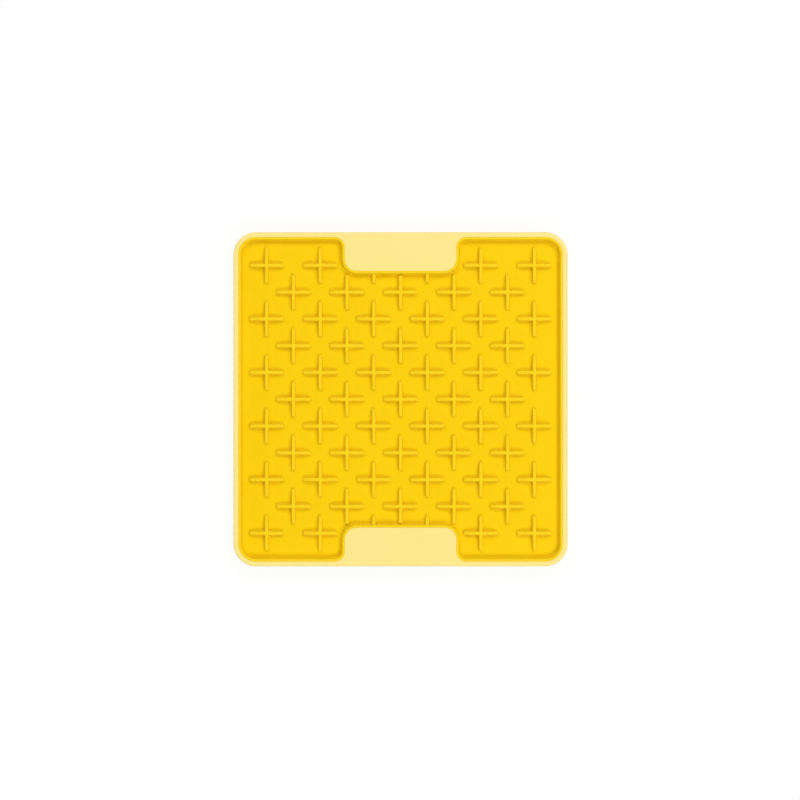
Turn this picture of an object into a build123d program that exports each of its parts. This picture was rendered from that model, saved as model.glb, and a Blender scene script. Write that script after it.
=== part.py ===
"""Lick mat: a stiff moulded tray, a soft ribbed pad moulded into its pocket, and four grip feet.

Millimetres. +Z is up, X runs along the tabs and Y from the front tab to the rear one.
The origin is at the middle of the mat, on the surface that the feet stand on.
"""

import os
from math import radians, tan

from build123d import *

os.makedirs("parts", exist_ok=True)

# Plan of the mat
mat_side = 200.0
corner_radius = 13.5
rim_width = 3.2  # bare rim, from the outer face to the pad's lip
tab_width = 66.5
tab_depth = 23.4  # from the outer face inwards
tab_corner_radius = 7.2  # the tab's own two corners
tab_root_radius = 6.0  # where the tab's sides run into the rim

# Heights, from the ground up
foot_stand = 1.0  # the feet below the skirt
skirt_depth = 2.0  # the skirt below the floor
floor_thickness = 2.0
pad_thickness = 2.0
pocket_depth = 3.6  # the rim's top above the pad's surface

# Tray
wall_draft = 1.5  # degrees, the outer face leans in towards the top
rim_edge_radius = 0.9
skirt_wall = 2.4
tab_wall = 2.0  # top and inner wall of the hollow tabs
tab_core_radius = 3.0
tab_rib_count = 3
tab_rib_thickness = 1.4

# Lip of the pad, standing against the walls of the pocket
lip_width = 2.2  # at the pad's surface
lip_draft = 11.0  # degrees, the lip thins towards the top
lip_edge_bevel = 0.6  # height of the bevel along its top inner edge
lip_bevel_angle = 45.0  # degrees

# Cross ribs of the pad
rib_step = 16.0  # between neighbouring rows, and between neighbouring columns
rib_length = 21.6  # of each bar, at the root
rib_width = 2.8  # at the root
rib_height = 2.8  # at the middle of a cross
rib_tip_height = 1.4  # the crest slopes down to this at the ends of the bars
rib_slope_length = 5.0  # of each sloping end
rib_draft = 10.0  # degrees
rib_end_chamfer = 0.9  # of each bar's corners, in plan

# Grip feet, each seated in a ring under the floor
foot_radius = 6.5
foot_inset = 21.0  # from the outer faces to the foot's centre
foot_clearance = 0.15  # radial, between foot and ring
foot_edge_chamfer = 0.5
socket_wall = 1.6

# Levels and places worked out from these
skirt_z = foot_stand
floor_under_z = skirt_z + skirt_depth
floor_top_z = floor_under_z + floor_thickness
pad_top_z = floor_top_z + pad_thickness
rib_tip_z = pad_top_z + rib_tip_height
rib_top_z = pad_top_z + rib_height
rim_top_z = pad_top_z + pocket_depth
half_side = mat_side / 2
foot_pitch = mat_side - 2 * foot_inset
least_radius = 0.4  # of a corner that an inset would otherwise close


def draw_pocket(sketch, inset):
    """Draw the pocket's plan, brought in by inset all round, into the open sketch."""
    side = mat_side - 2 * (rim_width + inset)
    RectangleRounded(side, side, max(corner_radius - rim_width - inset, least_radius))
    with Locations((0, half_side), (0, -half_side)):
        RectangleRounded(
            tab_width + 2 * inset,
            2 * (tab_depth + inset),
            tab_corner_radius + inset,
            mode=Mode.SUBTRACT,
        )
    rows = sketch.vertices().group_by(Axis.Y)
    tab_roots = rows[0].sort_by(Axis.X)[1:3] + rows[-1].sort_by(Axis.X)[1:3]
    fillet(tab_roots, max(tab_root_radius - inset, least_radius))


# Tray: rim, tabs, floor and skirt in one stiff moulding
with BuildPart() as tray:
    with BuildSketch(Plane.XY.offset(skirt_z)):
        RectangleRounded(mat_side, mat_side, corner_radius)
    extrude(amount=rim_top_z - skirt_z, taper=wall_draft)
    fillet(tray.faces().sort_by(Axis.Z)[-1].edges(), rim_edge_radius)

    # Pocket that the pad is moulded into
    with BuildSketch(Plane.XY.offset(floor_top_z)) as pocket:
        draw_pocket(pocket, 0)
    extrude(amount=pad_thickness + pocket_depth, mode=Mode.SUBTRACT)

    # Recess under the floor, inside the skirt
    with BuildSketch(Plane.XY.offset(skirt_z)):
        recess_side = mat_side - 2 * skirt_wall
        RectangleRounded(recess_side, recess_side, corner_radius - skirt_wall)
    extrude(amount=skirt_depth, mode=Mode.SUBTRACT)

    # Cells that hollow the tabs from below, with ribs left standing between them
    with BuildSketch(Plane.XY.offset(floor_under_z)):
        core_width = tab_width - 2 * tab_wall
        core_depth = tab_depth - skirt_wall - tab_wall
        core_y = half_side - skirt_wall - core_depth / 2
        with Locations((0, core_y), (0, -core_y)):
            RectangleRounded(core_width, core_depth, tab_core_radius)
        rib_pitch = (core_width + tab_rib_thickness) / (tab_rib_count + 1)
        with GridLocations(rib_pitch, 2 * core_y, tab_rib_count, 2):
            Rectangle(tab_rib_thickness, core_depth, mode=Mode.SUBTRACT)
    extrude(amount=rim_top_z - tab_wall - floor_under_z, mode=Mode.SUBTRACT)

    # Ring sockets for the feet
    with BuildSketch(Plane.XY.offset(skirt_z)):
        with GridLocations(foot_pitch, foot_pitch, 2, 2):
            Circle(foot_radius + foot_clearance + socket_wall)
            Circle(foot_radius + foot_clearance, mode=Mode.SUBTRACT)
    extrude(amount=skirt_depth)

tray.part.label = "tray"
export_step(tray.part, "parts/tray.step")

# One bar of a cross, standing on the pad's surface at the middle of the mat, with sloping ends
with BuildPart() as rib_bar:
    with BuildSketch(Plane.XY.offset(pad_top_z)) as bar_plan:
        Rectangle(rib_length, rib_width)
        chamfer(bar_plan.vertices(), rib_end_chamfer)
    extrude(amount=rib_height, taper=rib_draft)
    with BuildSketch(Plane.XZ):
        with BuildLine():
            half_bar = rib_length / 2
            half_crest = half_bar - rib_slope_length
            Polyline(
                (-half_bar, pad_top_z),
                (-half_bar, rib_tip_z),
                (-half_crest, rib_top_z),
                (half_crest, rib_top_z),
                (half_bar, rib_tip_z),
                (half_bar, pad_top_z),
                close=True,
            )
        make_face()
    extrude(amount=rib_width, both=True, mode=Mode.INTERSECT)

with BuildPart() as cross_rib:
    add(rib_bar.part)
    add(rib_bar.part, rotation=(0, 0, 90))

# The field of crosses: every second place of a square lattice, with one at the middle of the mat.
# Those that reach under the tabs are cut off inside the lip.
rib_reach = half_side - rim_width - lip_width - rib_length / 2
rib_steps = int(rib_reach // rib_step)
rib_range = range(-rib_steps, rib_steps + 1)
rib_places = [
    (rib_step * column, rib_step * row)
    for row in rib_range
    for column in rib_range
    if (row + column) % 2 == 0
]
with BuildPart() as rib_field:
    with Locations(*rib_places):
        add(cross_rib.part)
    with BuildSketch(Plane.XY.offset(pad_top_z)) as middle_of_lip:
        draw_pocket(middle_of_lip, lip_width / 2)
    extrude(amount=rib_height, mode=Mode.INTERSECT)

# Lick pad: floor, lip and cross ribs in one soft moulding
with BuildPart() as lick_pad:
    with BuildSketch(Plane.XY.offset(floor_top_z)) as pad_edge:
        draw_pocket(pad_edge, 0)
    extrude(amount=pad_thickness + pocket_depth)
    with BuildSketch(Plane.XY.offset(pad_top_z)) as foot_of_lip:
        draw_pocket(foot_of_lip, lip_width)
    extrude(amount=pocket_depth, taper=-lip_draft, mode=Mode.SUBTRACT)
    bevel_height = pocket_depth - lip_edge_bevel
    with BuildSketch(Plane.XY.offset(pad_top_z + bevel_height)) as foot_of_bevel:
        draw_pocket(foot_of_bevel, lip_width - bevel_height * tan(radians(lip_draft)))
    extrude(amount=lip_edge_bevel, taper=-lip_bevel_angle, mode=Mode.SUBTRACT)
    add(rib_field.part)

lick_pad.part.label = "lick_pad"
export_step(lick_pad.part, "parts/lick_pad.step")

# Feet: soft discs that fill their rings and stand proud of the skirt
foot_ends = {"front": -1, "rear": 1}
foot_sides = {"left": -1, "right": 1}
for end_name, end in foot_ends.items():
    for side_name, side in foot_sides.items():
        foot_name = f"foot_{end_name}_{side_name}"
        with BuildPart() as foot:
            with BuildSketch():
                with Locations((side * foot_pitch / 2, end * foot_pitch / 2)):
                    Circle(foot_radius)
            extrude(amount=foot_stand + skirt_depth)
            chamfer(foot.faces().sort_by(Axis.Z)[0].edges(), foot_edge_chamfer)
        foot.part.label = foot_name
        export_step(foot.part, f"parts/{foot_name}.step")
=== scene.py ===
import math

import bmesh
import bpy
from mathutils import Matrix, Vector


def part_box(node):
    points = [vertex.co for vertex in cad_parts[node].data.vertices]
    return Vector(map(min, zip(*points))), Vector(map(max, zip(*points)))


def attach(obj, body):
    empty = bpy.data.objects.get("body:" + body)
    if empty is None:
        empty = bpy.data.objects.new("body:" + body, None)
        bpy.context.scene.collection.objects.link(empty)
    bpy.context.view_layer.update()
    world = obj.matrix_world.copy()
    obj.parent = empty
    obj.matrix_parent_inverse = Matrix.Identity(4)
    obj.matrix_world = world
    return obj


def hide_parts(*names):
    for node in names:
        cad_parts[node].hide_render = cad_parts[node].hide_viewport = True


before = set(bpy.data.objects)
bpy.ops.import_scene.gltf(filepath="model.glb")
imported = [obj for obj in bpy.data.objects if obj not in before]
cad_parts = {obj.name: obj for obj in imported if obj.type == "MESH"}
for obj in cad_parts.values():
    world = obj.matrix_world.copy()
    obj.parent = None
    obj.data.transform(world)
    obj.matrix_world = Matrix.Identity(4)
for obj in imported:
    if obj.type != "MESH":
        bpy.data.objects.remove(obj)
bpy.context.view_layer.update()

# Tray. A stiff polypropylene moulding: a narrow rim, two flat tabs to hold it by, a floor under the
# pad and a skirt round the underside. It is moulded first, and the pad is then moulded into it.

mm = 0.001
tray_low, tray_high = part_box("tray")
pad_low, pad_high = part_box("lick_pad")
foot_low, foot_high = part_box("foot_front_left")
mat_side = tray_high[0] - tray_low[0]
rim_top = tray_high[2]
skirt_bottom = tray_low[2]
floor_under = foot_high[2]
floor_top = pad_low[2]
rim_width = (mat_side - (pad_high[0] - pad_low[0])) / 2
corner_radius = 13.5 * mm
outline_steps = 16
wall_draft = math.radians(1.5)
rim_edge_radius = 0.9 * mm
rim_edge_steps = 6
pocket_corner_steps = 14
skirt_wall = 2.4 * mm
tab_width = 66.5 * mm
tab_depth = 23.4 * mm
tab_corner_radius = 7.2 * mm
tab_root_radius = 6.0 * mm
tab_corner_steps = 10
tab_wall = 2.0 * mm
tab_rib_count = 3
tab_rib_thickness = 1.4 * mm
tab_cell_radius = 1.2 * mm
tab_cell_steps = 4
tray_edge_radius = 0.3 * mm
tray_edge_steps = 3
ring_clearance = 0.15 * mm
ring_wall = 1.6 * mm
disc_steps = 72
past = 1.0 * mm
facing_up = 0.9
same_plane = math.radians(1)
sharp_edge = math.radians(50)


def hold(piece):
    """Make a piece the active one, with nothing else selected."""
    bpy.ops.object.select_all(action="DESELECT")
    piece.select_set(True)
    bpy.context.view_layer.objects.active = piece


def open_piece(piece):
    """Put one piece into edit mode, with nothing on it selected."""
    hold(piece)
    bpy.ops.object.mode_set(mode="EDIT")
    bpy.ops.mesh.select_all(action="DESELECT")


def close_piece():
    """Leave edit mode and hand back the piece that was open."""
    bpy.ops.object.mode_set(mode="OBJECT")
    return bpy.context.object


def pick(kind, wanted):
    """Select the vertices, edges or faces of the open piece for which wanted is true."""
    bpy.ops.mesh.select_mode(type={"verts": "VERT", "edges": "EDGE", "faces": "FACE"}[kind])
    bpy.ops.mesh.select_all(action="DESELECT")
    mesh = bmesh.from_edit_mesh(bpy.context.object.data)
    for element in getattr(mesh, kind):
        if wanted(element):
            element.select_set(True)
    mesh.select_flush_mode()
    bmesh.update_edit_mesh(bpy.context.object.data)


def pick_top():
    """Select the faces of the open piece that look up."""
    pick("faces", lambda face: face.normal.z > facing_up)


def add_square(name, side, z):
    """Add a flat square, centred on the mat, and open it for editing."""
    bpy.ops.object.select_all(action="DESELECT")
    bpy.ops.mesh.primitive_plane_add(size=side, location=(0, 0, z))
    piece = bpy.context.object
    piece.name = name
    bpy.ops.object.transform_apply(location=True, rotation=True, scale=True)
    open_piece(piece)
    return piece


def add_disc(name, radius, low, high, x, y):
    """Add an upright disc between two heights."""
    bpy.ops.object.select_all(action="DESELECT")
    bpy.ops.mesh.primitive_cylinder_add(
        vertices=disc_steps, radius=radius, depth=high - low, location=(x, y, (low + high) / 2)
    )
    piece = bpy.context.object
    piece.name = name
    bpy.ops.object.transform_apply(location=True, rotation=True, scale=True)
    return piece


def cut_plan(x_cut, y_cut, unwanted):
    """Cut the open square along four lines, drop the unwanted patches and make the rest one face."""
    for distance, normal in ((x_cut, (1, 0, 0)), (y_cut, (0, 1, 0))):
        for side in (-1, 1):
            place = [side * distance * n for n in normal]
            bpy.ops.mesh.select_all(action="SELECT")
            bpy.ops.mesh.bisect(plane_co=place, plane_no=normal)
    pick("faces", lambda face: unwanted(face.calc_center_median()))
    bpy.ops.mesh.delete(type="FACE")
    bpy.ops.mesh.select_all(action="SELECT")
    bpy.ops.mesh.dissolve_limited(angle_limit=same_plane)


def round_corners(radius, steps, wanted):
    """Round those corners of the open flat plan for which wanted is true."""
    pick("verts", lambda corner: wanted(corner.co))
    bpy.ops.mesh.bevel(offset=radius, segments=steps, affect="VERTICES")


def raise_plan(height):
    """Extrude the open flat plan upwards into a closed block."""
    bpy.ops.mesh.select_all(action="SELECT")
    bpy.ops.mesh.extrude_region_move(TRANSFORM_OT_translate={"value": (0, 0, height)})
    bpy.ops.mesh.select_all(action="SELECT")
    bpy.ops.mesh.normals_make_consistent(inside=False)


def pocket_plan(name, inset, z):
    """Draw the pocket's outline, brought in by inset all round, and leave it open as one face."""
    side = mat_side - 2 * (rim_width + inset)
    tab_half = tab_width / 2 + inset
    tab_edge = mat_side / 2 - tab_depth - inset
    piece = add_square(name, side, z)
    cut_plan(tab_half, tab_edge, lambda at: abs(at.x) < tab_half and abs(at.y) > tab_edge)
    middle = (tab_half + side / 2) / 2
    high = (tab_edge + side / 2) / 2
    round_corners(
        corner_radius - rim_width - inset, pocket_corner_steps, lambda at: abs(at.x) > middle
    )
    round_corners(
        tab_root_radius - inset,
        tab_corner_steps,
        lambda at: abs(at.x) < middle and abs(at.y) > high,
    )
    round_corners(
        tab_corner_radius + inset,
        tab_corner_steps,
        lambda at: abs(at.x) < middle and abs(at.y) < high,
    )
    return piece


def rounded_block(name, side, radius, low, high):
    """Make a block with a rounded square plan between two heights, and leave it open."""
    piece = add_square(name, side, low)
    round_corners(radius, outline_steps, lambda at: True)
    raise_plan(high - low)
    return piece


def change_shape(piece, kind, settings):
    """Give a piece a modifier with these settings, and apply it."""
    hold(piece)
    change = piece.modifiers.new(kind.lower(), kind)
    for name, setting in settings.items():
        setattr(change, name, setting)
    bpy.ops.object.modifier_apply(modifier=change.name)


def combine(piece, tool, operation):
    """Add, cut or intersect a piece with a tool, which is used up."""
    change_shape(
        piece, "BOOLEAN", {"operation": operation, "solver": "MANIFOLD", "object": tool}
    )
    bpy.data.objects.remove(tool, do_unlink=True)


def round_edges(piece, radius, steps, sharpest):
    """Round every edge that is sharper than the given angle."""
    change_shape(
        piece,
        "BEVEL",
        {
            "width": radius,
            "segments": steps,
            "limit_method": "ANGLE",
            "angle_limit": sharpest,
            "use_clamp_overlap": True,
        },
    )


def smooth_faces(piece, sharpest):
    """Shade a piece smooth up to the given angle, with its flats kept flat."""
    hold(piece)
    bpy.ops.object.shade_smooth_by_angle(angle=sharpest)
    change_shape(piece, "WEIGHTED_NORMAL", {"keep_sharp": True})


tray = rounded_block("tray_moulding", mat_side, corner_radius, skirt_bottom, rim_top)
draw_in = (rim_top - skirt_bottom) * math.tan(wall_draft)
top_scale = 1 - 2 * draw_in / mat_side
pick_top()
bpy.ops.transform.resize(value=(top_scale, top_scale, 1))
pick("edges", lambda edge: all(corner.co.z > rim_top - past for corner in edge.verts))
bpy.ops.mesh.bevel(offset=rim_edge_radius, segments=rim_edge_steps, affect="EDGES")
close_piece()

pocket_plan("pocket_cut", 0, floor_top)
raise_plan(rim_top - floor_top + past)
combine(tray, close_piece(), "DIFFERENCE")

rounded_block(
    "recess_cut",
    mat_side - 2 * skirt_wall,
    corner_radius - skirt_wall,
    skirt_bottom - past,
    floor_under,
)
combine(tray, close_piece(), "DIFFERENCE")

cell_depth = tab_depth - skirt_wall - tab_wall
cell_pitch = (tab_width - 2 * tab_wall + tab_rib_thickness) / (tab_rib_count + 1)
cell_width = cell_pitch - tab_rib_thickness
cell_low = floor_under - past
cell_high = rim_top - tab_wall
for end in (-1, 1):
    for number in range(tab_rib_count + 1):
        bpy.ops.object.select_all(action="DESELECT")
        bpy.ops.mesh.primitive_cube_add(
            size=1,
            location=(
                (number - tab_rib_count / 2) * cell_pitch,
                end * (mat_side / 2 - skirt_wall - cell_depth / 2),
                (cell_low + cell_high) / 2,
            ),
            scale=(cell_width, cell_depth, cell_high - cell_low),
        )
        bpy.ops.object.transform_apply(location=True, rotation=True, scale=True)
        open_piece(bpy.context.object)
        pick("edges", lambda edge: abs(edge.verts[0].co.z - edge.verts[1].co.z) > past)
        bpy.ops.mesh.bevel(offset=tab_cell_radius, segments=tab_cell_steps, affect="EDGES")
        combine(tray, close_piece(), "DIFFERENCE")

foot_nodes = ("foot_front_left", "foot_front_right", "foot_rear_left", "foot_rear_right")
foot_places = [
    tuple((low + high) / 2 for low, high in zip(*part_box(node)))[:2] for node in foot_nodes
]
foot_radius = (foot_high[0] - foot_low[0]) / 2
ring_inner = foot_radius + ring_clearance
for x, y in foot_places:
    ring = add_disc("ring", ring_inner + ring_wall, skirt_bottom, floor_under + past, x, y)
    bore = add_disc("ring_bore", ring_inner, skirt_bottom - past, floor_under, x, y)
    combine(tray, ring, "UNION")
    combine(tray, bore, "DIFFERENCE")

round_edges(tray, tray_edge_radius, tray_edge_steps, sharp_edge)
smooth_faces(tray, sharp_edge)


class Shade:
    """A value in a finish's node tree, so that shader maths reads as plain expressions."""

    def __init__(self, tree, socket=None):
        self.tree = tree
        self.socket = socket

    def node(self, kind, settings=None, values=None, output=0):
        """Add a node of any kind, set it up, fill or link its sockets and hand back one output."""
        made = self.tree.nodes.new(kind)
        for name, setting in (settings or {}).items():
            setattr(made, name, setting)
        for name, value in (values or {}).items():
            if isinstance(value, Shade):
                self.tree.links.new(value.socket, made.inputs[name])
            else:
                made.inputs[name].default_value = value
        return Shade(self.tree, made.outputs[output])

    def maths(self, operation, first, second):
        return self.node("ShaderNodeMath", {"operation": operation}, {0: first, 1: second})

    def __add__(self, other):
        return self.maths("ADD", self, other)

    def __radd__(self, other):
        return self.maths("ADD", other, self)

    def __sub__(self, other):
        return self.maths("SUBTRACT", self, other)

    def __rsub__(self, other):
        return self.maths("SUBTRACT", other, self)

    def __mul__(self, other):
        return self.maths("MULTIPLY", self, other)

    def __rmul__(self, other):
        return self.maths("MULTIPLY", other, self)

    def between(self, low, high):
        """Ease from 0 at low to 1 at high."""
        return self.node(
            "ShaderNodeMapRange",
            {"interpolation_type": "SMOOTHSTEP"},
            {"Value": self, "From Min": low, "From Max": high},
        )


def new_finish(name):
    """Start a finish and hand back the material, its tree as a Shade and its main shader node."""
    material = bpy.data.materials.new(name)
    material.use_nodes = True
    tree = material.node_tree
    return material, Shade(tree), tree.nodes["Principled BSDF"]


def link(value, node, name):
    """Feed a value into a socket of a node that is already there."""
    value.tree.links.new(value.socket, node.inputs[name])


def noise(place, scale, detail):
    """Soft noise, finer for a larger scale."""
    return place.node("ShaderNodeTexNoise", {}, {"Vector": place, "Scale": scale, "Detail": detail})


def tint(share, first, second):
    """Go from the first colour to the second one as share goes from 0 to 1."""
    return share.node(
        "ShaderNodeMix",
        {"data_type": "RGBA"},
        {"Factor": share, "A": first, "B": second},
        output="Result",
    )


def texture(height, strength, depth):
    """Turn noise into the fine relief that a mould leaves."""
    return height.node(
        "ShaderNodeBump", {}, {"Height": height, "Strength": strength, "Distance": depth}
    )


def dress(piece, material, node):
    """Give a piece its finish, and let it stand for its node of the frame."""
    piece.data.materials.clear()
    piece.data.materials.append(material)
    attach(piece, "root")
    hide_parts(node)


pale_yellow = (0.9, 0.735, 0.243, 1)
pale_yellow_deeper = (0.89, 0.722, 0.228, 1)
flow_low, flow_high = 0.35, 0.7
flow_detail = 3
tray_flow_scale = 22
tray_grain_scale = 2600
tray_grain_strength = 0.12
grain_detail = 2
grain_depth = 0.03 * mm
tray_roughness = 0.36
tray_roughness_spread = 0.1
tray_gloss = 0.3
plastic, shade, shader = new_finish("pale_satin_polypropylene")
place = shade.node("ShaderNodeTexCoord", output="Object")
flow = noise(place, tray_flow_scale, flow_detail)
grain = noise(place, tray_grain_scale, grain_detail)
colour = tint(flow.between(flow_low, flow_high), pale_yellow, pale_yellow_deeper)
link(colour, shader, "Base Color")
link(tray_roughness + tray_roughness_spread * grain, shader, "Roughness")
link(texture(grain, tray_grain_strength, grain_depth), shader, "Normal")
shader.inputs["Specular IOR Level"].default_value = tray_gloss
dress(tray, plastic, "tray")

# Lick pad. Soft thermoplastic rubber, moulded into the tray's pocket in a second shot, so that its
# lip ends flush with the rim. Cross-shaped ribs stand on it in staggered rows to hold the food.

pad_surface = floor_top + 2.0 * mm
lip_seam_radius = 0.2 * mm
lip_width = 2.2 * mm
lip_edge_radius = 0.7 * mm
lip_draft = math.radians(11)
lip_cove_radius = 0.3 * mm
rib_step = 16.0 * mm
rib_rows_each_way = 5
rib_length = 21.6 * mm
rib_width = 2.8 * mm
rib_height = 2.8 * mm
rib_tip_height = 1.4 * mm
rib_draft = math.radians(10)
rib_crest_radius = 0.35 * mm
rib_cove_radius = 0.4 * mm
rib_cove_start = 285
rib_tip_flat = 0.2 * mm
rib_tip_steps = 5
rib_level_half = 3.0 * mm
rib_slope_cuts = 5
rib_sink = 0.6 * mm
rib_skirt = 0.02 * mm
arc_steps = 4


def inset_along(profile):
    """Inset the selected face step by step, along a list of points (distance in, height)."""
    for (here, low), (there, high) in zip(profile, profile[1:]):
        bpy.ops.mesh.inset(
            thickness=there - here,
            depth=high - low,
            use_boundary=True,
            use_even_offset=True,
            use_relative_offset=False,
        )


def arc(centre, radius, start, stop):
    """Points on an arc of a profile, from one angle to another, in degrees."""
    angles = [
        math.radians(start + (stop - start) * step / arc_steps) for step in range(arc_steps + 1)
    ]
    return [
        (centre[0] + radius * math.cos(angle), centre[1] + radius * math.sin(angle))
        for angle in angles
    ]


pad = pocket_plan("lick_pad_moulding", 0, floor_top)
raise_plan(rim_top - lip_seam_radius - floor_top)
lip_lean = (1 - math.sin(lip_draft)) / math.cos(lip_draft)
lip_degrees = math.degrees(lip_draft)
wall_in = lip_width - (rim_top - pad_surface) * math.tan(lip_draft)
edge_in = wall_in - lip_edge_radius * lip_lean
cove_in = lip_width + lip_cove_radius * lip_lean
lip_profile = (
    arc((lip_seam_radius, rim_top - lip_seam_radius), lip_seam_radius, 180, 90)
    + arc((edge_in, rim_top - lip_edge_radius), lip_edge_radius, 90, lip_degrees)
    + arc((cove_in, pad_surface + lip_cove_radius), lip_cove_radius, 180 + lip_degrees, 270)
)
pick_top()
inset_along(lip_profile)
close_piece()

bar_length = rib_length + 2 * rib_cove_radius
bar_width = rib_width + 2 * rib_cove_radius
bar = add_square("rib_bar", bar_length, pad_surface - rib_sink)
bpy.ops.mesh.select_all(action="SELECT")
bpy.ops.transform.resize(value=(1, bar_width / bar_length, 1))
round_corners((bar_width - rib_tip_flat) / 2, rib_tip_steps, lambda at: True)
raise_plan(rib_sink - rib_skirt)
rib_lean = (1 - math.sin(rib_draft)) / math.cos(rib_draft)
rib_degrees = math.degrees(rib_draft)
cove_middle = (rib_cove_radius * (1 - rib_lean), pad_surface + rib_cove_radius)
crest_middle = (
    rib_cove_radius + rib_height * math.tan(rib_draft) + rib_crest_radius * rib_lean,
    pad_surface + rib_height - rib_crest_radius,
)
rib_profile = (
    [(0, pad_surface - rib_skirt)]
    + arc(cove_middle, rib_cove_radius, rib_cove_start, 360 - rib_degrees)
    + arc(crest_middle, rib_crest_radius, 180 - rib_degrees, 90)
)
pick_top()
inset_along(rib_profile)

# The crest is level at the middle of a cross and curves down towards the tips.
slope_length = rib_length / 2 - rib_level_half
for number in range(rib_slope_cuts):
    for side in (-1, 1):
        cut = side * (rib_level_half + slope_length * number / rib_slope_cuts)
        bpy.ops.mesh.select_all(action="SELECT")
        bpy.ops.mesh.bisect(plane_co=(cut, 0, 0), plane_no=(1, 0, 0))
mesh = bmesh.from_edit_mesh(bar.data)
for corner in mesh.verts:
    along = max(abs(corner.co.x) - rib_level_half, 0) / slope_length
    above = max(corner.co.z - pad_surface, 0)
    corner.co.z -= above * (1 - rib_tip_height / rib_height) * along**2
bmesh.update_edit_mesh(bar.data)
close_piece()

cross = bar.copy()
cross.data = bar.data.copy()
bpy.context.collection.objects.link(cross)
hold(bar)
bar.rotation_euler = (0, 0, math.radians(90))
bpy.ops.object.transform_apply(location=True, rotation=True, scale=True)
combine(cross, bar, "UNION")

crosses = []
for row in range(-rib_rows_each_way, rib_rows_each_way + 1):
    for column in range(-rib_rows_each_way, rib_rows_each_way + 1):
        if (row + column) % 2 == 0:
            copy = cross.copy()
            copy.data = cross.data.copy()
            copy.location = (column * rib_step, row * rib_step, 0)
            bpy.context.collection.objects.link(copy)
            crosses.append(copy)
bpy.data.objects.remove(cross, do_unlink=True)
rib_field = crosses[0]
hold(rib_field)
for copy in crosses:
    copy.select_set(True)
bpy.ops.object.join()
bpy.ops.object.transform_apply(location=True, rotation=True, scale=True)

# Crosses that reach under the tabs end inside the lip.
pocket_plan("middle_of_lip", lip_width / 2, pad_surface - past)
raise_plan(rib_height + 2 * past)
combine(rib_field, close_piece(), "INTERSECT")
combine(pad, rib_field, "UNION")
smooth_faces(pad, sharp_edge)

deep_yellow = (0.87, 0.58, 0.001, 1)
deep_yellow_darker = (0.86, 0.57, 0.001, 1)
# Painted highlight: the crests of the ribs and the lip get a lighter yellow than the rest of the
# pad, standing in for the light that falls on them.
crest_painted_highlight = (0.885, 0.605, 0.01, 1)
pad_flow_scale = 45
pad_grain_scale = 3400
pad_grain_strength = 0.15
pad_roughness = 0.46
pad_roughness_spread = 0.12
pad_gloss = 0.1
painted_highlight_from = pad_surface + 0.7 * rib_tip_height
painted_highlight_full = pad_surface + rib_tip_height
rubber, shade, shader = new_finish("deep_yellow_rubber")
place = shade.node("ShaderNodeTexCoord", output="Object")
flow = noise(place, pad_flow_scale, flow_detail)
grain = noise(place, pad_grain_scale, grain_detail)
height = shade.node("ShaderNodeSeparateXYZ", {}, {"Vector": place}, output="Z")
body_colour = tint(flow.between(flow_low, flow_high), deep_yellow, deep_yellow_darker)
# Painted highlight: above the height of the rib tips the colour eases to the lighter crest yellow.
colour = tint(height.between(painted_highlight_from, painted_highlight_full), body_colour, crest_painted_highlight)
link(colour, shader, "Base Color")
link(pad_roughness + pad_roughness_spread * grain, shader, "Roughness")
link(texture(grain, pad_grain_strength, grain_depth), shader, "Normal")
shader.inputs["Specular IOR Level"].default_value = pad_gloss
dress(pad, rubber, "lick_pad")

# Grip feet. Discs of matt soft rubber, glued into the rings under the tray's corners. They stand a
# little proud of the skirt, and a groove in each underside leaves a ring that grips the table.

foot_edge_radius = 0.5 * mm
foot_edge_steps = 4
foot_ring_width = 2.0 * mm
foot_groove_depth = 0.5 * mm
foot_groove_slope = 0.4 * mm
foot_groove_edge = 0.12 * mm
foot_groove_steps = 2
foot_sharp_edge = math.radians(40)
facing_down = -0.99
foot_profile = [
    (0, 0),
    (foot_ring_width, 0),
    (foot_ring_width + foot_groove_slope, -foot_groove_depth),
]
foot_yellow = (0.84, 0.56, 0.002, 1)
foot_yellow_worn = (0.8, 0.545, 0.006, 1)
scuff_scale = 260
scuff_detail = 4
scuff_low, scuff_high = 0.4, 0.75
foot_grain_scale = 4200
foot_grain_detail = 3
foot_grain_strength = 0.25
foot_grain_depth = 0.04 * mm
foot_roughness = 0.68
foot_roughness_spread = 0.2
foot_gloss = 0.25
matt_rubber, shade, shader = new_finish("matt_foot_rubber")
place = shade.node("ShaderNodeTexCoord", output="Object")
scuff = noise(place, scuff_scale, scuff_detail)
grain = noise(place, foot_grain_scale, foot_grain_detail)
colour = tint(scuff.between(scuff_low, scuff_high), foot_yellow, foot_yellow_worn)
link(colour, shader, "Base Color")
link(foot_roughness + foot_roughness_spread * scuff, shader, "Roughness")
link(texture(grain, foot_grain_strength, foot_grain_depth), shader, "Normal")
shader.inputs["Specular IOR Level"].default_value = foot_gloss
foot_middle = (foot_low[2] + foot_high[2]) / 2
for node, (x, y) in zip(foot_nodes, foot_places):
    foot = add_disc(node + "_disc", foot_radius, foot_low[2], foot_high[2], x, y)
    open_piece(foot)
    pick("edges", lambda edge: all(corner.co.z < foot_middle for corner in edge.verts))
    bpy.ops.mesh.bevel(offset=foot_edge_radius, segments=foot_edge_steps, affect="EDGES")
    pick("faces", lambda face: face.normal.z < facing_down and len(face.verts) == disc_steps)
    inset_along(foot_profile)
    close_piece()
    round_edges(foot, foot_groove_edge, foot_groove_steps, foot_sharp_edge)
    smooth_faces(foot, foot_sharp_edge)
    dress(foot, matt_rubber, node)

# Stage. A white sweep under the mat, soft lamps round it at about half height, most of them behind
# it and at its front right, and a camera straight above.

sweep_side = 6
white = (1, 1, 1, 1)
paper_white = (0.95, 0.95, 0.95, 1)
paper_roughness = 0.9
paper_gloss = 0.1
contact_share = 0.75
contact_fade = 2.0 * mm
shadow_share = 0.1
shadow_reach = 0.1
ambient = 0.25


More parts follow.
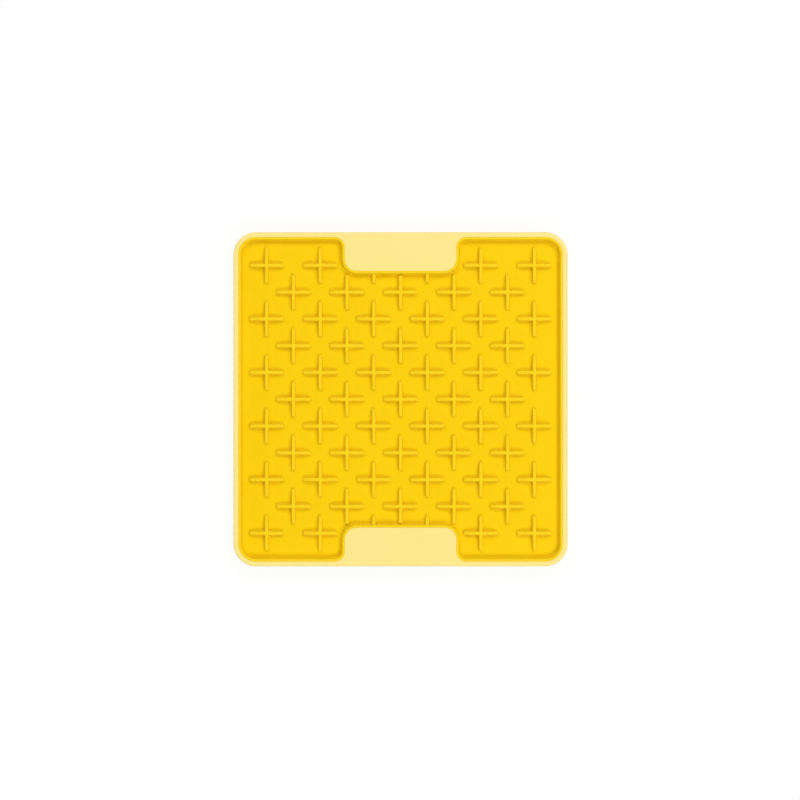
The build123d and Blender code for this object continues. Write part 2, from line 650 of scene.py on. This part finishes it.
def seen_rays(tree):
    """1 for the rays that show the background: the camera's, and those of gloss and clear pieces."""
    rays = tree.nodes.new("ShaderNodeLightPath")
    return (
        Shade(tree, rays.outputs["Is Camera Ray"])
        + Shade(tree, rays.outputs["Is Glossy Ray"])
        + Shade(tree, rays.outputs["Is Transmission Ray"])
    )


bpy.ops.object.select_all(action="DESELECT")
bpy.ops.mesh.primitive_plane_add(size=sweep_side, location=(0, 0, 0))
sweep = bpy.context.object
sweep.name = "white_sweep"
paper, shade, shader = new_finish("white_paper")
shader.inputs["Base Color"].default_value = paper_white
shader.inputs["Roughness"].default_value = paper_roughness
shader.inputs["Specular IOR Level"].default_value = paper_gloss

# The paper shows white, and takes the mat's shadow: strongly under the mat's edge, softly round it.
place = shade.node("ShaderNodeTexCoord", output="Object")
spot = shade.node("ShaderNodeVectorMath", {"operation": "ABSOLUTE"}, {0: place})
along = shade.node("ShaderNodeSeparateXYZ", {}, {"Vector": spot}, output="X")
across = shade.node("ShaderNodeSeparateXYZ", {}, {"Vector": spot}, output="Y")
corner_reach = (mat_side / 2 - corner_radius) * math.sqrt(2) + corner_radius
past_sides = shade.maths("MAXIMUM", along, across) - mat_side / 2
past_corners = (along + across) * math.sqrt(0.5) - corner_reach
outside = shade.maths("MAXIMUM", past_sides, past_corners)
clear = outside.between(-contact_fade, 0)
beyond = outside.between(shadow_reach, 2 * shadow_reach)
cover = (1 - contact_share) + (contact_share - shadow_share) * clear + shadow_share * beyond
glow = shade.node("ShaderNodeEmission", {}, {"Color": white, "Strength": 1})
paper_look = shade.node(
    "ShaderNodeMixShader", {}, {0: cover * seen_rays(paper.node_tree), 2: glow}
)
paper.node_tree.links.new(shader.outputs[0], paper_look.socket.node.inputs[1])
link(paper_look, paper.node_tree.nodes["Material Output"], "Surface")
sweep.data.materials.append(paper)

world = bpy.data.worlds.new("studio")
world.use_nodes = True
bpy.context.scene.world = world
backdrop = world.node_tree.nodes["Background"]
backdrop.inputs["Color"].default_value = white
link(ambient + (1 - ambient) * seen_rays(world.node_tree), backdrop, "Strength")

# Each lamp has a bearing, counted from the mat's right round by its rear, a rise above the ground,
# both in degrees, and a power in watts. All of them face the middle of the mat.
lamp_distance = 2.5
lamp_width = 1.4
lamp_depth = 0.9
for name, bearing, rise, power in (
    ("rear_right_lamp", 48, 46, 20.5),
    ("rear_lamp", 92, 42, 9),
    ("rear_left_lamp", 133, 46, 10.5),
    ("low_left_lamp", 180, 15, 7),
    ("front_lamp", 272, 45, 15),
    ("front_right_lamp", 314, 47, 20),
):
    lamp = bpy.data.lights.new(name, "AREA")
    lamp.shape = "RECTANGLE"
    lamp.size = lamp_width
    lamp.size_y = lamp_depth
    lamp.energy = power
    holder = bpy.data.objects.new(name, lamp)
    bpy.context.collection.objects.link(holder)
    turn = math.radians(bearing)
    lift = math.radians(rise)
    holder.location = (
        lamp_distance * math.cos(lift) * math.cos(turn),
        lamp_distance * math.cos(lift) * math.sin(turn),
        lamp_distance * math.sin(lift),
    )
    holder.rotation_euler = (math.pi / 2 - lift, 0, turn + math.pi / 2)

# The mat's width and place in the picture are in pixels.
frame_width = 800
mat_width_in_frame = 335.3
mat_centre_right = 0.58
mat_centre_up = 0.7
camera_height = 1.0
sensor_width = 36
pixel = mat_side / mat_width_in_frame
eye = bpy.data.cameras.new("overhead")
eye.sensor_width = sensor_width
eye.lens = (camera_height - rim_top) * sensor_width / (frame_width * pixel)
camera = bpy.data.objects.new("overhead", eye)
bpy.context.collection.objects.link(camera)
camera.location = (-mat_centre_right * pixel, -mat_centre_up * pixel, camera_height)
bpy.context.scene.camera = camera
bpy.context.scene.view_settings.view_transform = "Standard"
